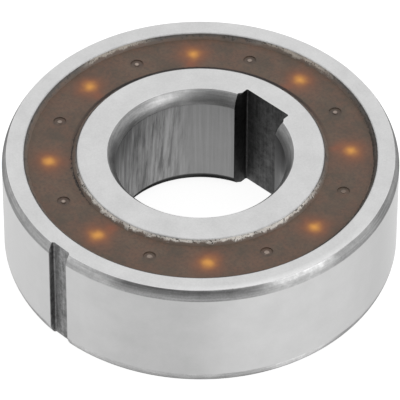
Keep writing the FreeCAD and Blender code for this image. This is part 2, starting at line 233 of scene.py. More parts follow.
def keyed_ring(name, stretches, key, finishes_used):
    """Turned ring with one keyway, in the finishes that its surfaces have.

    The columns run round the ring from one lip of the keyway to the other, then across the keyway.
    """
    points, finishes, cut = broken_section(stretches)
    half = key["half_width"]
    edge_angle = math.degrees(math.asin((half + key["lip"]) / key["floor"]))
    spin = Matrix.Rotation(math.radians(key["angle"]), 3, "Z")
    columns = []
    for step in range(RING_SEGMENTS + 1):
        columns.append((edge_angle + (360 - 2 * edge_angle) * step / RING_SEGMENTS, None))
    for across, out in key_outline(key):
        columns.append((edge_angle * across / (half + key["lip"]), (across, out)))
    lips = {0: half + key["lip"], RING_SEGMENTS: -half - key["lip"]}
    mesh = bmesh.new()
    rows = []
    for number, (angle, floor_point) in enumerate(columns):
        turn = math.radians(angle)
        row = []
        for (r, z), keyed in zip(points, cut):
            across, along = r * math.sin(turn), r * math.cos(turn)
            if keyed and floor_point:
                across, along = floor_point
                if along is None:
                    along = math.sqrt(r * r - across * across) - key["inward"] * key["lip"]
            elif keyed and number in lips:
                across = lips[number]
                along = math.sqrt(r * r - across * across)
            row.append(mesh.verts.new(spin @ Vector((along, across, z)) * MM))
        rows.append(row)
    for number, row in enumerate(rows):
        after = rows[(number + 1) % len(rows)]
        in_key = number >= RING_SEGMENTS
        for place, finish in enumerate(finishes):
            follow = (place + 1) % len(points)
            face = mesh.faces.new((row[place], after[place], after[follow], row[follow]))
            if in_key and cut[place] and cut[follow]:
                finish = key["finish"]
            face.material_index = finishes_used.index(finish)
            face.smooth = True
    bmesh.ops.remove_doubles(mesh, verts=mesh.verts, dist=MERGE_WITHIN)
    bmesh.ops.dissolve_degenerate(mesh, edges=mesh.edges, dist=MERGE_WITHIN)
    ring = add_shape(name, mesh, RING_CREASE)
    ring.modifiers.new("flat_faces", "WEIGHTED_NORMAL").keep_sharp = True
    return ring


# Node helpers

def wire(tree, source, target):
    tree.links.new(source, target)


def feed(tree, socket, value):
    """Sets a plain number or colour on the socket, or wires a node's output to it."""
    if isinstance(value, tuple):
        socket.default_value = value + (1.0,)
    elif isinstance(value, (int, float)):
        socket.default_value = value
    else:
        wire(tree, value, socket)


def maths(tree, operation, first, second=None, third=None):
    node = tree.nodes.new("ShaderNodeMath")
    node.operation = operation
    for socket, value in zip(node.inputs, (first, second, third)):
        if value is not None:
            feed(tree, socket, value)
    return node.outputs[0]


def times(tree, *values):
    result = values[0]
    for value in values[1:]:
        result = maths(tree, "MULTIPLY", result, value)
    return result


def plus(tree, *values):
    result = values[0]
    for value in values[1:]:
        result = maths(tree, "ADD", result, value)
    return result


def blend_colours(tree, factor, first, second):
    node = tree.nodes.new("ShaderNodeMix")
    node.data_type = "RGBA"
    for socket, value in ((node.inputs[0], factor), (node.inputs[6], first), (node.inputs[7], second)):
        feed(tree, socket, value)
    return node.outputs[2]


def remap(tree, value, low, high, to_low=0.0, to_high=1.0, smooth=False):
    node = tree.nodes.new("ShaderNodeMapRange")
    if smooth:
        node.interpolation_type = "SMOOTHSTEP"
    feed(tree, node.inputs["Value"], value)
    for label, number in (("From Min", low), ("From Max", high), ("To Min", to_low), ("To Max", to_high)):
        feed(tree, node.inputs[label], number)
    return node.outputs["Result"]


def combine(tree, x, y, z):
    node = tree.nodes.new("ShaderNodeCombineXYZ")
    for socket, value in zip(node.inputs, (x, y, z)):
        feed(tree, socket, value)
    return node.outputs[0]


def noise(tree, vector, scale, detail, roughness):
    node = tree.nodes.new("ShaderNodeTexNoise")
    feed(tree, node.inputs["Scale"], scale)
    node.inputs["Detail"].default_value = detail
    node.inputs["Roughness"].default_value = roughness
    wire(tree, vector, node.inputs["Vector"])
    return node.outputs["Fac"]


def new_group(name, inputs, outputs):
    """Shader group with named sockets. inputs are (name, value) and plain numbers, outputs are names."""
    tree = bpy.data.node_groups.new(name, "ShaderNodeTree")
    for label, value in inputs:
        socket = tree.interface.new_socket(name=label, in_out="INPUT", socket_type="NodeSocketFloat")
        socket.default_value = value
    for label in outputs:
        kind = {"Millimetres": "NodeSocketVector", "Colour": "NodeSocketColor"}.get(label, "NodeSocketFloat")
        tree.interface.new_socket(name=label, in_out="OUTPUT", socket_type=kind)
    return tree, tree.nodes.new("NodeGroupInput").outputs, tree.nodes.new("NodeGroupOutput").inputs


def use_group(tree, group, **values):
    node = tree.nodes.new("ShaderNodeGroup")
    node.node_tree = group
    for label, value in values.items():
        feed(tree, node.inputs[label], value)
    return node.outputs


# Values between which noise mostly lies, and those that it seldom passes
NOISE_CORE = (0.36, 0.64)
NOISE_SPAN = (0.3, 0.7)


def degrees_from(tree, degrees, direction):
    """Angle from a direction, between -180 and 180."""
    return maths(tree, "WRAP", maths(tree, "SUBTRACT", degrees, direction), 180.0, -180.0)


def drawn_out(tree, spot, shares):
    """Place for noise that is drawn out along the ring, from shares of degrees, radius and height."""
    parts = [times(tree, spot[label], share) for label, share in zip(("Degrees", "Radius", "Height"), shares)]
    return combine(tree, *parts)


# Effects that several finishes share

# Scale of each mark on steel, and shares of degrees, radius and height in the marks that are drawn out
CLOUD_SCALE = 0.42
GRIT_SCALE = 6.5
LINES_RUN = (0.09, 7.0, 7.0)
STREAKS_RUN = (0.55, 0.4, 0.10)

# Colours of the resin
RESIN = {"dark": (0.094, 0.070, 0.051), "light": (0.138, 0.093, 0.066), "warm": (0.150, 0.084, 0.058),
         "fleck": (0.074, 0.060, 0.050)}


def round_place_group():
    """Where a point lies on the turned part: millimetres from the axis, height, and degrees round."""
    tree, _, out = new_group("round_place", [], ["Radius", "Height", "Degrees", "Millimetres"])
    place = tree.nodes.new("ShaderNodeTexCoord")
    scaled = tree.nodes.new("ShaderNodeVectorMath")
    scaled.operation = "SCALE"
    scaled.inputs["Scale"].default_value = 1 / MM
    wire(tree, place.outputs["Object"], scaled.inputs[0])
    parts = tree.nodes.new("ShaderNodeSeparateXYZ")
    wire(tree, scaled.outputs[0], parts.inputs[0])
    x, y, z = parts.outputs
    wire(tree, maths(tree, "SQRT", plus(tree, times(tree, x, x), times(tree, y, y))), out["Radius"])
    wire(tree, z, out["Height"])
    wire(tree, times(tree, maths(tree, "ARCTAN2", y, x), 180 / math.pi), out["Degrees"])
    wire(tree, scaled.outputs[0], out["Millimetres"])
    return tree


def arc_window_group(round_place):
    """1 near the given direction, falling softly to 0 at the given reach, both in degrees."""
    tree, given, out = new_group("arc_window", [("Direction", 0.0), ("Reach", 30.0)], ["Mask"])
    spot = use_group(tree, round_place)
    turned = degrees_from(tree, spot["Degrees"], given["Direction"])
    share = maths(tree, "DIVIDE", maths(tree, "ABSOLUTE", turned), given["Reach"])
    wire(tree, remap(tree, share, 1.0, 0.35, smooth=True), out["Mask"])
    return tree


def steel_grain_group(round_place):
    """Marks of machining and tumbling on steel.

    Cloud is broad tone, Grit fine speckle, Lines run round the part, Streaks run along its axis.
    """
    tree, given, out = new_group("steel_grain", [("Fineness", 1.0)], ["Cloud", "Grit", "Lines", "Streaks"])
    spot = use_group(tree, round_place)
    fine = given["Fineness"]
    cloud = noise(tree, spot["Millimetres"], scale=CLOUD_SCALE, detail=4.0, roughness=0.6)
    grit_scale = times(tree, fine, GRIT_SCALE)
    grit = noise(tree, spot["Millimetres"], scale=grit_scale, detail=3.0, roughness=0.7)
    lines = noise(tree, drawn_out(tree, spot, LINES_RUN), scale=fine, detail=4.0, roughness=0.6)
    streaks = noise(tree, drawn_out(tree, spot, STREAKS_RUN), scale=fine, detail=5.0, roughness=0.62)
    for label, source in (("Cloud", cloud), ("Grit", grit), ("Lines", lines), ("Streaks", streaks)):
        wire(tree, source, out[label])
    return tree


ROUND_PLACE = round_place_group()
ARC_WINDOW = arc_window_group(ROUND_PLACE)
STEEL_GRAIN = steel_grain_group(ROUND_PLACE)


def new_finish(name):
    material = bpy.data.materials.new(name)
    material.use_nodes = True
    tree = material.node_tree
    tree.nodes.clear()
    output = tree.nodes.new("ShaderNodeOutputMaterial")
    shader = tree.nodes.new("ShaderNodeBsdfPrincipled")
    wire(tree, shader.outputs[0], output.inputs["Surface"])
    return material, tree, shader.inputs


def bump(tree, surface, height, strength, distance):
    node = tree.nodes.new("ShaderNodeBump")
    node.inputs["Strength"].default_value = strength
    node.inputs["Distance"].default_value = distance * MM
    wire(tree, height, node.inputs["Height"])
    wire(tree, node.outputs["Normal"], surface["Normal"])


def ground_round(tree, surface, amount):
    """Brushed sheen of a surface that was ground or turned round the axis."""
    around = tree.nodes.new("ShaderNodeTangent")
    around.direction_type = "RADIAL"
    around.axis = "Z"
    surface["Anisotropic"].default_value = amount
    wire(tree, around.outputs["Tangent"], surface["Tangent"])


def steel_tone(tree, grain, dark, light, cloud=1.0, grit=0.35, lines=0.0, streaks=0.0):
    """Grey between dark and light, mixed from the grain's parts."""
    total = cloud + grit + lines + streaks
    mixed = plus(tree, times(tree, grain["Cloud"], cloud / total), times(tree, grain["Grit"], grit / total),
                 times(tree, grain["Lines"], lines / total), times(tree, grain["Streaks"], streaks / total))
    return remap(tree, mixed, *NOISE_CORE, dark, light)


def machined_steel(name, rough, depth=0.012, strength=0.35):
    """Start of a machined steel finish: cloudy roughness and a fine bump. The tone is added by paint_grey."""
    material, tree, surface = new_finish(name)
    grain = use_group(tree, STEEL_GRAIN, Fineness=1.0)
    surface["Metallic"].default_value = 1.0
    wire(tree, remap(tree, grain["Cloud"], *NOISE_SPAN, rough * 0.88, rough * 1.12), surface["Roughness"])
    bump(tree, surface, plus(tree, grain["Grit"], times(tree, grain["Lines"], 0.3)), strength, depth)
    return material, tree, surface, grain


def paint_grey(tree, surface, tone):
    wire(tree, combine(tree, tone, tone, tone), surface["Base Color"])


def sheen_toward(tree, direction, reach):
    return use_group(tree, ARC_WINDOW, Direction=direction, Reach=reach)["Mask"]


def paint_light_and_shade(tree, tone, painted_light, *shares):
    """Painted highlight or painted shade toward some directions. painted_light is (direction, reach, change
    of tone).
    """
    for direction, reach, change in painted_light:
        tone = plus(tree, tone, times(tree, sheen_toward(tree, direction, reach), *shares, change))
    return tone


# Painted highlights, or painted shade where the change is below 0: direction, reach and change of tone. On
# the corners they ride on real scuffs.
FACE_PAINTED_HIGHLIGHT = ((-20.0, 40.0, 0.14),)
OUTSIDE_PAINTED_HIGHLIGHTS = ((-16.0, 36.0, 0.10), (-100.0, 40.0, 0.07), (110.0, 90.0, 0.06))
CORNER_SCUFFS_PAINTED_HIGHLIGHTS = ((-14.0, 16.0, 0.33), (8.0, 12.0, 0.08), (44.0, 24.0, 0.09), (-81.0, 17.0, 0.22),
               (-106.0, 20.0, 0.10), (-130.0, 16.0, 0.09))
BORE_CORNER_SCUFFS_PAINTED_HIGHLIGHTS = ((152.0, 24.0, 0.14),)
BORE_PAINTED_LIGHT_AND_SHADE = ((136.0, 62.0, 0.125), (66.0, 18.0, -0.05), (43.0, 10.0, 0.05))

# Radii between which the face's painted highlight begins
FACE_HIGHLIGHT_FROM = (16.5, 17.0)

# Heights between which the corners' tone changes as painted light and shade, darkest at the lower face, and
# the tone's
# shares below and above each: on the outer ring's corners and on the bore's
CORNER_SHADE_BANDS = ((0.05, 0.25), (1.0, 2.0), (9.9, 10.8))
CORNER_PAINTED_LEVELS = ((0.3, 1.0), (1.45, 1.0), (1.15, 0.95))
BORE_CORNER_PAINTED_LEVELS = ((1.0, 1.0), (0.1, 1.0), (1.5, 1.0))

# Heights between which the scuffs, which carry the corners' painted highlights, grow on the upper corners,
# and their strength below and above
SCUFF_BAND = (10.25, 10.75)
SCUFF_LEVELS = (0.45, 1.1)

# Chatter in the bore, its pale streaks a painted highlight: direction, reach, share of degrees and of height
# in its run, its lengthening along the axis, tone that its painted highlight streaks add, and share that its
# dark streaks take away
CHATTER = {"direction": 182.0, "reach": 48.0, "round": 0.28, "lean": 0.16, "along": 0.20, "painted_highlight_streaks": 0.085,
           "dark": 0.45}

# Millimetres from a keyway's wall where its painted shade starts, and over which it grows
WALL_SHADE_FROM = 0.14
WALL_SHADE_OVER = 0.12


def ground_face_steel():
    """End faces: pale, cloudy, with a painted highlight along the outer edge."""
    material, tree, surface, grain = machined_steel("ring_face_ground_steel", rough=0.36)
    tone = steel_tone(tree, grain, dark=0.615, light=0.725, cloud=0.8, grit=0.7, lines=0.15)
    # painted highlight along the outer edge, toward one side
    rim = remap(tree, use_group(tree, ROUND_PLACE)["Radius"], *FACE_HIGHLIGHT_FROM)
    paint_grey(tree, surface, paint_light_and_shade(tree, tone, FACE_PAINTED_HIGHLIGHT, rim))
    return material


def ground_outside_steel():
    """Outside cylinder: smooth, with broad painted highlights."""
    material, tree, surface, grain = machined_steel("ring_outside_ground_steel", rough=0.36)
    tone = steel_tone(tree, grain, dark=0.42, light=0.47, cloud=1.0, grit=0.25, lines=0.12)
    # painted highlights toward some directions
    paint_grey(tree, surface, paint_light_and_shade(tree, tone, OUTSIDE_PAINTED_HIGHLIGHTS))
    ground_round(tree, surface, amount=0.5)
    return material


def corner_steel_painted_light(name, dark, light, painted_light, levels):
    """Corner left as turned and hardened: dark, lined round the axis, with painted highlights carried by
    scuffs, and painted light and shade by height.

    painted_light is (direction, reach, change of tone). levels are the tone's shares below and above each
    band, which paint light and shade.
    """
    material, tree, surface, grain = machined_steel(name, rough=0.45, depth=0.02, strength=0.4)
    surface["Specular Tint"].default_value = (0.3, 0.3, 0.3, 1)
    spot = use_group(tree, ROUND_PLACE)
    tone = steel_tone(tree, grain, dark, light, cloud=0.8, grit=0.9, lines=0.4)
    tone = times(tree, tone, remap(tree, grain["Lines"], *NOISE_CORE, 0.88, 1.12))
    scuff = noise(tree, spot["Millimetres"], scale=1.4, detail=5.0, roughness=0.65)
    scuff = remap(tree, scuff, 0.40, 0.62, 0.75, 1.3)
    scuff = times(tree, scuff, remap(tree, spot["Height"], *SCUFF_BAND, *SCUFF_LEVELS, smooth=True))
    # painted highlights toward some directions, carried by the scuffs
    tone = paint_light_and_shade(tree, tone, painted_light, scuff)
    # painted light and shade by height, darkest at the lower face
    for band, shares in zip(CORNER_SHADE_BANDS, levels):
        tone = times(tree, tone, remap(tree, spot["Height"], *band, *shares))
    paint_grey(tree, surface, tone)
    return material


def edge_steel():
    """Broken edges: rubbed bright, and darkened at the lower face as painted shade."""
    material, tree, surface, grain = machined_steel("ring_edge_bright_steel", rough=0.3)
    tone = steel_tone(tree, grain, dark=0.60, light=0.80)
    height = use_group(tree, ROUND_PLACE)["Height"]
    # painted shade toward the lower face
    paint_grey(tree, surface, times(tree, tone, remap(tree, height, *CORNER_SHADE_BANDS[1], 0.2, 1.0)))
    return material


def track_edge_steel():
    """Edges beside the resin: rubbed matt and pale."""
    material, tree, surface, grain = machined_steel("ring_track_edge_matt_steel", rough=0.5)
    surface["Metallic"].default_value = 0.35
    paint_grey(tree, surface, steel_tone(tree, grain, dark=0.48, light=0.66, cloud=0.8, grit=0.8))
    return material


def bore_steel():
    """Bore: dark tone as painted shade, with a painted highlight on one side of the keyway, painted shade
    beside it, and chatter streaks along the axis, whose pale streaks are a painted highlight.
    """
    material, tree, surface, grain = machined_steel("ring_bore_honed_steel", rough=0.36, depth=0.02)
    # dark tone: painted shade in the bore
    tone = steel_tone(tree, grain, dark=0.08, light=0.15, cloud=0.5, grit=0.2, streaks=1.0)
    # painted highlight and painted shade toward some directions
    tone = paint_light_and_shade(tree, tone, BORE_PAINTED_LIGHT_AND_SHADE)
    spot = use_group(tree, ROUND_PLACE)
    window = sheen_toward(tree, CHATTER["direction"], CHATTER["reach"])
    turned = degrees_from(tree, spot["Degrees"], CHATTER["direction"])
    slope = plus(tree, times(tree, turned, CHATTER["round"]), times(tree, spot["Height"], CHATTER["lean"]))
    place = combine(tree, slope, 0.0, times(tree, spot["Height"], CHATTER["along"]))
    chatter = noise(tree, place, scale=1.0, detail=4.0, roughness=0.65)
    painted_highlight_streaks = remap(tree, chatter, 0.50, 0.62)
    dark = remap(tree, chatter, 0.48, 0.38)
    # painted highlight streaks, and dark chatter streaks
    tone = plus(tree, tone, times(tree, painted_highlight_streaks, window, CHATTER["painted_highlight_streaks"]))
    tone = times(tree, tone, maths(tree, "SUBTRACT", 1.0, times(tree, dark, window, CHATTER["dark"])))
    paint_grey(tree, surface, tone)
    ground_round(tree, surface, amount=0.4)
    return material


def broached_steel(name, key, dark, light, wall_painted_shade):
    """Keyway as broached and hardened: streaks along the cut, speckled blotches, and walls darkened as
    painted shade.

    wall_painted_shade is the share of the floor's tone that its walls keep under the painted shade.
    """
    material, tree, surface = new_finish(name)
    grain = use_group(tree, STEEL_GRAIN, Fineness=1.5)
    spot = use_group(tree, ROUND_PLACE)
    blotch = noise(tree, spot["Millimetres"], scale=1.5, detail=4.0, roughness=0.75)
    mixed = plus(tree, times(tree, blotch, 0.4), times(tree, grain["Grit"], 0.3),
                 times(tree, grain["Streaks"], 0.3))
    tone = remap(tree, mixed, 0.40, 0.60, dark, light)
    turn = maths(tree, "RADIANS", plus(tree, spot["Degrees"], -key["angle"]))
    aside = maths(tree, "ABSOLUTE", times(tree, maths(tree, "SINE", turn), spot["Radius"]))
    # walls darkened as painted shade
    near_wall = key["half_width"] - WALL_SHADE_FROM
    tone = times(tree, tone, remap(tree, aside, near_wall, near_wall + WALL_SHADE_OVER, 1.0, wall_painted_shade))
    paint_grey(tree, surface, tone)
    surface["Metallic"].default_value = 1.0
    wire(tree, remap(tree, grain["Grit"], *NOISE_SPAN, 0.42, 0.6), surface["Roughness"])
    bump(tree, surface, plus(tree, grain["Streaks"], blotch), strength=0.5, distance=0.04)
    return material


def plain_steel(name, dark, light, rough):
    material, tree, surface, grain = machined_steel(name, rough, depth=0.006, strength=0.25)
    paint_grey(tree, surface, steel_tone(tree, grain, dark, light, cloud=1.0, grit=0.4))
    return material


def bell(tree, distance, width):
    """Soft round spot: 1 at the middle, about a third at the given width from it."""
    share = times(tree, distance, 1 / width)
    return maths(tree, "EXPONENT", times(tree, share, share, -1.0))


def ball_place_group(round_place):
    """Millimetres on the cage's end face from the nearest ball: along the pitch circle and outward."""
    tree, given, out = new_group("ball_place", [("Shift", 0.0)], ["Arc", "Outward"])
    spot = use_group(tree, round_place)
    step = 360 / BALL_COUNT
    offset = maths(tree, "SUBTRACT", maths(tree, "SUBTRACT", spot["Degrees"], BALL_PHASE), given["Shift"])
    nearest = maths(tree, "WRAP", offset, step / 2, -step / 2)
    wire(tree, times(tree, nearest, PITCH_R * math.pi / 180), out["Arc"])
    wire(tree, maths(tree, "SUBTRACT", spot["Radius"], PITCH_R), out["Outward"])
    return tree


def resin_brown_group(round_place):
    """Brown of the resin, with warmer and cooler clouds and fine flecks."""
    tree, _, out = new_group("resin_brown", [], ["Colour", "Fine", "Cloud"])
    spot = use_group(tree, round_place)
    cloud = noise(tree, spot["Millimetres"], scale=0.38, detail=4.0, roughness=0.6)
    cloud = remap(tree, cloud, 0.38, 0.62)
    tint = noise(tree, spot["Millimetres"], scale=0.8, detail=3.0, roughness=0.6)
    tint = remap(tree, tint, 0.40, 0.62)
    fine = noise(tree, spot["Millimetres"], scale=3.4, detail=5.0, roughness=0.75)
    flecks = remap(tree, fine, 0.44, 0.62, 0.0, 0.5)
    brown = blend_colours(tree, cloud, RESIN["dark"], RESIN["light"])
    brown = blend_colours(tree, times(tree, tint, 0.7), brown, RESIN["warm"])
    wire(tree, blend_colours(tree, flecks, brown, RESIN["fleck"]), out["Colour"])
    wire(tree, fine, out["Fine"])
    wire(tree, cloud, out["Cloud"])
    return tree


BALL_PLACE = ball_place_group(ROUND_PLACE)
RESIN_BROWN = resin_brown_group(ROUND_PLACE)


def reach_from(tree, place, point):
    """Distance on the cage's end face from a point (along, outward), in millimetres."""
    along = maths(tree, "SUBTRACT", place["Arc"], point[0])
    outward = maths(tree, "SUBTRACT", place["Outward"], point[1])
    return maths(tree, "SQRT", plus(tree, times(tree, along, along), times(tree, outward, outward)))


# Painted shade line on the resin beside the inner ring: direction, reach, radii where the dark line starts
# and is full, and how ragged it is
PAINTED_SHADE_EDGES = ((137.0, 92.0, 11.63, 11.51, 0.3), (-126.0, 36.0, 11.45, 11.33, 1.3))

# Painted glow over each ball, in millimetres: middle and width of its core, width of its halo, and middle and
# width of a faint second painted glow. A middle is along the pitch circle and outward from the ball.
CORE_AT = (0.0, 0.05)
CORE_WIDTH = 0.52
HALO_WIDTH = 1.20
GHOST_AT = (0.35, -1.3)
GHOST_WIDTH = 0.5

# Distances over which the painted shade in each dimple and the painted highlight on its nib fade, in
# millimetres
POOL_FADE = (0.72, 0.45)
NIB_FADE = (0.28, 0.12)

# Colours of the painted glow's parts, of the dimples' painted shade and painted highlight, and of the painted
# shade line beside the inner ring, and the light that the painted glow gives off
AMBER = {"halo": (0.27, 0.085, 0.036), "ghost": (0.25, 0.085, 0.045), "core": (0.47, 0.225, 0.05),
         "painted_pool_shade": (0.080, 0.062, 0.055), "nib": (0.42, 0.34, 0.29), "painted_edge_shade": (0.012, 0.008, 0.007),
         "halo_painted_glow": (0.030, 0.006, 0.001), "core_painted_glow": (0.18, 0.075, 0.012)}

# Looks of the resin on the rings' walls. painted_highlight_at holds (direction, reach) of each stretch
# painted pale as a highlight. painted_gap_shade holds (direction, reach, radius where it starts, radius where
# it is full) of each painted shade line beside the ring.
INNER_RIM = {"painted_highlight_at": ((-85.0, 52.0), (-14.0, 50.0)), "skin": (0.14, 0.125, 0.115),
             "painted_highlight": (0.82, 0.78, 0.72), "painted_gap_shade": ()}
OUTER_RIM = {"painted_highlight_at": ((165.0, 16.0), (100.0, 20.0)), "skin": (0.125, 0.115, 0.106),
             "painted_highlight": (0.50, 0.45, 0.39), "painted_gap_shade": ((26.0, 64.0, 15.21, 15.26), (-14.0, 28.0, 15.05, 15.12))}
RIM_CHIP = (0.05, 0.043, 0.037)
RIM_FOOT = (0.24, 0.20, 0.17)
RIM_GAP_SHADE = (0.028, 0.024, 0.02)

# Radii between which the painted shade line beside the outer ring grows faint towards the steel
GAP_SHADE_END = (15.38, 15.44)


def amber_painted_glow():
    """Amber-brown resin with a painted glow over each ball that also gives off light, painted shade and
    highlight on the dimples, and a painted shade line beside the inner ring.
    """
    material, tree, surface = new_finish("cage_amber_painted_glow")
    spot = use_group(tree, ROUND_PLACE)
    resin = use_group(tree, RESIN_BROWN)
    ball = use_group(tree, BALL_PLACE)
    uneven = noise(tree, spot["Millimetres"], scale=0.13, detail=1.0, roughness=0.5)
    uneven = remap(tree, uneven, 0.38, 0.58, 0.1, 1.0)
    wobble = noise(tree, spot["Millimetres"], scale=0.9, detail=2.0, roughness=0.5)
    wobble = remap(tree, wobble, *NOISE_SPAN, -0.14, 0.14)
    # painted glow: a core, a halo and a faint second glow over each ball
    near = plus(tree, reach_from(tree, ball, CORE_AT), wobble)
    core = bell(tree, near, CORE_WIDTH)
    halo = bell(tree, near, HALO_WIDTH)
    from_ghost = plus(tree, reach_from(tree, ball, GHOST_AT), wobble)
    ghost = times(tree, bell(tree, from_ghost, GHOST_WIDTH), uneven)
    warm = blend_colours(tree, times(tree, halo, 0.8), resin["Colour"], AMBER["halo"])
    warm = blend_colours(tree, times(tree, ghost, 0.65), warm, AMBER["ghost"])
    base = blend_colours(tree, core, warm, AMBER["core"])
    # painted shade in each dimple and painted highlight on its nib
    mark = use_group(tree, BALL_PLACE, Shift=180 / BALL_COUNT)
    from_mark = plus(tree, reach_from(tree, mark, (0.0, 0.0)), times(tree, wobble, 0.6))
    painted_pool_shade = remap(tree, from_mark, *POOL_FADE, smooth=True)
    painted_pool_shade = times(tree, painted_pool_shade, remap(tree, uneven, 0.0, 1.0, 0.0, 0.5))
    base = blend_colours(tree, painted_pool_shade, base, AMBER["painted_pool_shade"])
    nib = remap(tree, from_mark, *NIB_FADE, smooth=True)
    nib = times(tree, nib, remap(tree, uneven, 0.0, 1.0, 0.15, 0.9))
    base = blend_colours(tree, nib, base, AMBER["nib"])
    # painted shade line on the resin beside the inner ring
    for direction, reach, edge, deep, tear in PAINTED_SHADE_EDGES:
        torn = plus(tree, spot["Radius"], times(tree, plus(tree, resin["Fine"], -0.5), tear))
        painted_edge_shade = times(tree, remap(tree, torn, edge, deep), sheen_toward(tree, direction, reach))
        base = blend_colours(tree, painted_edge_shade, base, AMBER["painted_edge_shade"])
    wire(tree, base, surface["Base Color"])
    # the painted glow is also given off as light
    painted_glow = blend_colours(tree, halo, (0.0, 0.0, 0.0), AMBER["halo_painted_glow"])
    wire(tree, blend_colours(tree, core, painted_glow, AMBER["core_painted_glow"]), surface["Emission Color"])
    surface["Emission Strength"].default_value = 1.0
    wire(tree, remap(tree, resin["Fine"], *NOISE_SPAN, 0.36, 0.5), surface["Roughness"])
    surface["Specular IOR Level"].default_value = 0.3
    relief = plus(tree, resin["Fine"], times(tree, resin["Cloud"], 0.5))
    bump(tree, surface, relief, strength=0.3, distance=0.04)
    return material


def resin_rim_finish(name, look):
    """Resin on a ring's wall, with a ragged skin along its top that is painted pale as a highlight toward
    some directions, and painted shade lines beside the ring.
    """
    material, tree, surface = new_finish(name)
    spot = use_group(tree, ROUND_PLACE)
    resin = use_group(tree, RESIN_BROWN)
    chips = noise(tree, spot["Millimetres"], scale=3.6, detail=4.0, roughness=0.75)
    tear = noise(tree, spot["Millimetres"], scale=1.1, detail=3.0, roughness=0.65)
    climb = plus(tree, spot["Height"], -CAGE_TOP, remap(tree, tear, *NOISE_CORE, -0.13, 0.10))
    climb = plus(tree, climb, remap(tree, chips, *NOISE_SPAN, -0.09, 0.09))
    upper = remap(tree, climb, 0.07, 0.27, smooth=True)
    # painted highlight: the skin turned pale toward the given directions
    masks = [sheen_toward(tree, direction, reach) for direction, reach in look["painted_highlight_at"]]
    highlight_breakup = noise(tree, spot["Millimetres"], scale=0.7, detail=3.0, roughness=0.6)
    highlight_breakup = remap(tree, highlight_breakup, 0.36, 0.54, 0.65, 1.0)
    skin = blend_colours(tree, times(tree, plus(tree, *masks), highlight_breakup), look["skin"], look["painted_highlight"])
    skin = blend_colours(tree, remap(tree, chips, 0.55, 0.60), skin, RIM_CHIP)
    foot = blend_colours(tree, 0.35, resin["Colour"], RIM_FOOT)
    colour = blend_colours(tree, upper, foot, skin)
    torn = plus(tree, spot["Radius"], times(tree, plus(tree, tear, -0.5), 0.4))
    torn = plus(tree, torn, times(tree, plus(tree, chips, -0.5), 0.3))
    depth = times(tree, remap(tree, torn, *GAP_SHADE_END, 0.9, 0.4), remap(tree, chips, 0.40, 0.56, 0.7, 1.0))
    # painted shade lines beside the ring
    for direction, reach, edge, deep in look["painted_gap_shade"]:
        gap_shade = times(tree, remap(tree, torn, edge, deep), sheen_toward(tree, direction, reach), depth)
        colour = blend_colours(tree, gap_shade, colour, RIM_GAP_SHADE)
    wire(tree, colour, surface["Base Color"])
    wire(tree, remap(tree, chips, *NOISE_SPAN, 0.4, 0.6), surface["Roughness"])
    surface["Specular IOR Level"].default_value = 0.35
    bump(tree, surface, chips, strength=0.5, distance=0.05)
    return material


# Dressing the frame

def give(thing, *materials):
    if thing.data.materials:
        thing.data.materials.clear()
    for material in materials:
        thing.data.materials.append(material)


def dress_rings():
    finishes = {
        "face": ground_face_steel(),
        "edge": edge_steel(),
        "track_edge": track_edge_steel(),
        "corner": corner_steel_painted_light("ring_corner_turned_steel", dark=0.21, light=0.33, painted_light=CORNER_SCUFFS_PAINTED_HIGHLIGHTS,
                                    levels=CORNER_PAINTED_LEVELS),
        "outside": ground_outside_steel(),
        "bore": bore_steel(),
        "bore_corner": corner_steel_painted_light("bore_corner_turned_steel", dark=0.25, light=0.37,
                                         painted_light=BORE_CORNER_SCUFFS_PAINTED_HIGHLIGHTS, levels=BORE_CORNER_PAINTED_LEVELS),
        "outer_keyway": broached_steel("outer_keyway_broached_steel", OUTER_KEY, dark=0.09, light=0.36,
                                       wall_painted_shade=0.65),
        "bore_keyway": broached_steel("bore_keyway_broached_steel", BORE_KEY, dark=0.03, light=0.125,
                                      wall_painted_shade=0.4),
        "track": plain_steel("ring_track_ground_steel", dark=0.50, light=0.60, rough=0.3),
    }
    rings = (("outer", outer_ring_section(), OUTER_KEY), ("inner", inner_ring_section(), BORE_KEY))
    for body, section, key in rings:
        ring = keyed_ring(body + "_ring_turned", section, key, list(finishes))
        give(ring, *finishes.values())
        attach(ring, body)
        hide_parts(body + "_ring")


def ragged(seed):
    """Uneven run round the ring, 0 to 1, that closes on itself."""
    dice = random.Random(seed)
    run = [0.0] * RIM_STEPS
    for knots, weight in RAGGED_PARTS:
        levels = [dice.random() for _ in range(knots)]
        for step in range(RIM_STEPS):
            at = step * knots / RIM_STEPS
            low = int(at)
            share = (1 - math.cos(math.pi * (at - low))) / 2
            run[step] += weight * (levels[low] * (1 - share) + levels[(low + 1) % knots] * share)
    return run


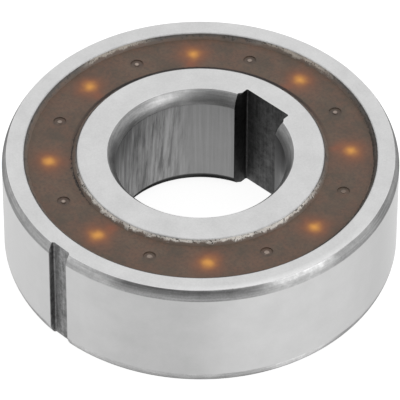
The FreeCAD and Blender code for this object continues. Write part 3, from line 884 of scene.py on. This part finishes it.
def resin_rim(name, wall_r, outward, seed):
    """Resin that creeps up a ring's wall, ragged at its top.

    outward is 1 on the inner ring's wall and -1 on the outer ring's.
    """
    tops, toes = ragged(seed), ragged(seed + 1)
    mesh = bmesh.new()
    rows = []
    for step, (top, toe) in enumerate(zip(tops, toes)):
        rise = CAGE_TOP + RIM_RISE[0] + (RIM_RISE[1] - RIM_RISE[0]) * top
        reach = RIM_REACH[0] + (RIM_REACH[1] - RIM_REACH[0]) * toe
        middle = CAGE_TOP + 0.35 * (rise - CAGE_TOP)
        section = [(RIM_GAP, CAGE_TOP - RIM_HANG), (RIM_GAP, rise - RIM_ROUND),
                   (RIM_GAP + 2 * RIM_ROUND, rise), (RIM_GAP + 0.4 * reach, middle),
                   (reach, CAGE_TOP + RIM_LIFT), (reach, CAGE_TOP - RIM_TOE),
                   (CAGE_GAP + RIM_OVERLAP, CAGE_TOP - RIM_HANG)]
        turn = 2 * math.pi * step / RIM_STEPS
        way = Vector((math.cos(turn), math.sin(turn), 0))
        row = []
        for off, z in section:
            row.append(mesh.verts.new((way * (wall_r + outward * off) + Vector((0, 0, z))) * MM))
        rows.append(row)
    for row, after in zip(rows, rows[1:] + rows[:1]):
        for low, high, far_high, far_low in zip(row, row[1:] + row[:1], after[1:] + after[:1], after):
            mesh.faces.new((low, far_low, far_high, high)).smooth = True
    rim = add_shape(name, mesh, RIM_CREASE)
    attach(rim, "cage")
    return rim


def dress_rims():
    rim = resin_rim("inner_resin_rim", INNER_TRACK_R, outward=1, seed=11)
    give(rim, resin_rim_finish("inner_rim_resin_painted_highlight", INNER_RIM))
    rim = resin_rim("outer_resin_rim", OUTER_TRACK_R, outward=-1, seed=23)
    give(rim, resin_rim_finish("outer_rim_resin_painted_highlight", OUTER_RIM))


def dress_inside():
    amber = amber_painted_glow()
    ball = plain_steel("ball_polished_steel", dark=0.66, light=0.78, rough=0.09)
    sprag = plain_steel("sprag_tumbled_steel", dark=0.40, light=0.52, rough=0.32)
    spring = plain_steel("spring_strip_steel", dark=0.50, light=0.62, rough=0.24)
    for name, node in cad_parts.items():
        if name.endswith("_cage"):
            give(node, amber)
        elif name.startswith("ball"):
            give(node, ball)
        elif name.startswith("sprag_spring"):
            give(node, spring)
        elif name.startswith("sprag"):
            give(node, sprag)


# Studio, with the camera where the photograph was taken from. Angles are in degrees, and the camera's
# distance and shift in millimetres.

CAMERA_TURN = 45.0
CAMERA_LIFT = 44.233
CAMERA_ROLL = 0.129
CAMERA_FAR = 431.394
CAMERA_SHIFT = (0.043, 4.209)
FOCAL_PIXELS = 4907.0
PICTURE_PIXELS = 400
SENSOR_MM = 36.0

# Floor: half its side in metres, the grey that lights the part from below, and the white that the camera sees
FLOOR_HALF = 0.8
FLOOR_GREY = (0.30, 0.30, 0.30, 1)
FLOOR_WHITE = 0.90

# Grey card: distance and heights in metres, and half its sweep round the part
CARD_FAR = 0.30
CARD_HEIGHTS = (0.002, 0.27)
CARD_HALF_SWEEP = 50
CARD_STEPS = 24
CARD_GREY = (0.2, 0.2, 0.2, 1)

# Lamp: degrees right of the camera and above the floor, distance and size in metres, and watts
LAMP_RIGHT = 47
LAMP_RISE = 27
LAMP_FAR = 0.28
LAMP_SIZE = 0.16
LAMP_WATTS = 0.18

# Strength of the white room round the part
ROOM_LIGHT = 0.95


def set_camera():
    lift = math.radians(CAMERA_LIFT)
    right = Vector((1, 0, 0))
    up = Vector((0, math.sin(lift), math.cos(lift)))
    ahead = Vector((0, math.cos(lift), -math.sin(lift)))
    spot = Vector((0, 0, RING_WIDTH)) - right * CAMERA_SHIFT[0] - up * CAMERA_SHIFT[1] - ahead * CAMERA_FAR
    roll = Matrix.Rotation(math.radians(CAMERA_ROLL), 4, "Z")
    axes = Matrix((right, up, -ahead)).transposed().to_4x4() @ roll
    turn = Matrix.Rotation(math.radians(CAMERA_TURN), 4, "Z")
    lens = bpy.data.cameras.new("photo_camera")
    lens.sensor_width = SENSOR_MM
    lens.lens = FOCAL_PIXELS / PICTURE_PIXELS * SENSOR_MM
    lens.clip_start = 0.01
    lens.clip_end = 100
    camera = add_object("photo_camera", lens)
    camera.matrix_world = turn @ Matrix.Translation(spot * MM) @ axes
    bpy.context.scene.camera = camera


def set_floor():
    """White paper under the part, which glows only for the camera and for mirrored and transmitted rays."""
    corners = [(x * FLOOR_HALF, y * FLOOR_HALF, 0) for x, y in ((-1, -1), (1, -1), (1, 1), (-1, 1))]
    data = bpy.data.meshes.new("floor")
    data.from_pydata(corners, [], [(0, 1, 2, 3)])
    floor = add_object("floor", data)
    material, tree, surface = new_finish("floor_white_paper")
    surface["Base Color"].default_value = FLOOR_GREY
    surface["Roughness"].default_value = 1.0
    surface["Specular IOR Level"].default_value = 0.0
    ray = tree.nodes.new("ShaderNodeLightPath").outputs
    seen = maths(tree, "MAXIMUM", ray["Is Camera Ray"], ray["Is Glossy Ray"])
    seen = maths(tree, "MAXIMUM", seen, ray["Is Transmission Ray"])
    surface["Emission Color"].default_value = (1, 1, 1, 1)
    wire(tree, times(tree, seen, FLOOR_WHITE), surface["Emission Strength"])
    give(floor, material)


def set_card():
    """Bent grey card on the camera's side, so that the steel has something darker to show."""
    verts, faces = [], []
    for step in range(CARD_STEPS + 1):
        sweep = 2 * CARD_HALF_SWEEP * step / CARD_STEPS - CARD_HALF_SWEEP
        angle = math.radians(CAMERA_TURN - 90 + sweep)
        for z in CARD_HEIGHTS:
            verts.append((CARD_FAR * math.cos(angle), CARD_FAR * math.sin(angle), z))
    for step in range(CARD_STEPS):
        first = 2 * step
        faces.append((first, first + 2, first + 3, first + 1))
    data = bpy.data.meshes.new("grey_card")
    data.from_pydata(verts, [], faces)
    card = add_object("grey_card", data)
    card.visible_camera = False
    material, _, surface = new_finish("card_grey_paper")
    surface["Base Color"].default_value = CARD_GREY
    surface["Roughness"].default_value = 1.0
    give(card, material)


def set_world():
    world = bpy.data.worlds.new("studio")
    bpy.context.scene.world = world
    world.use_nodes = True
    room = world.node_tree.nodes["Background"].inputs
    room["Color"].default_value = (1, 1, 1, 1)
    room["Strength"].default_value = ROOM_LIGHT


def set_lamp():
    """Soft key lamp to the right of the camera."""
    side = math.radians(CAMERA_TURN - 90 + LAMP_RIGHT)
    rise = math.radians(LAMP_RISE)
    light = bpy.data.lights.new("soft_key", "AREA")
    light.size = LAMP_SIZE
    light.energy = LAMP_WATTS
    lamp = add_object("soft_key", light)
    back = Vector((math.cos(side) * math.cos(rise), math.sin(side) * math.cos(rise), math.sin(rise)))
    lamp.location = back * LAMP_FAR
    lamp.rotation_mode = "QUATERNION"
    lamp.rotation_quaternion = back.to_track_quat("Z", "Y")


dress_rings()
dress_rims()
dress_inside()
set_camera()
set_floor()
set_card()
set_world()
set_lamp()
bpy.context.scene.view_settings.view_transform = "Standard"
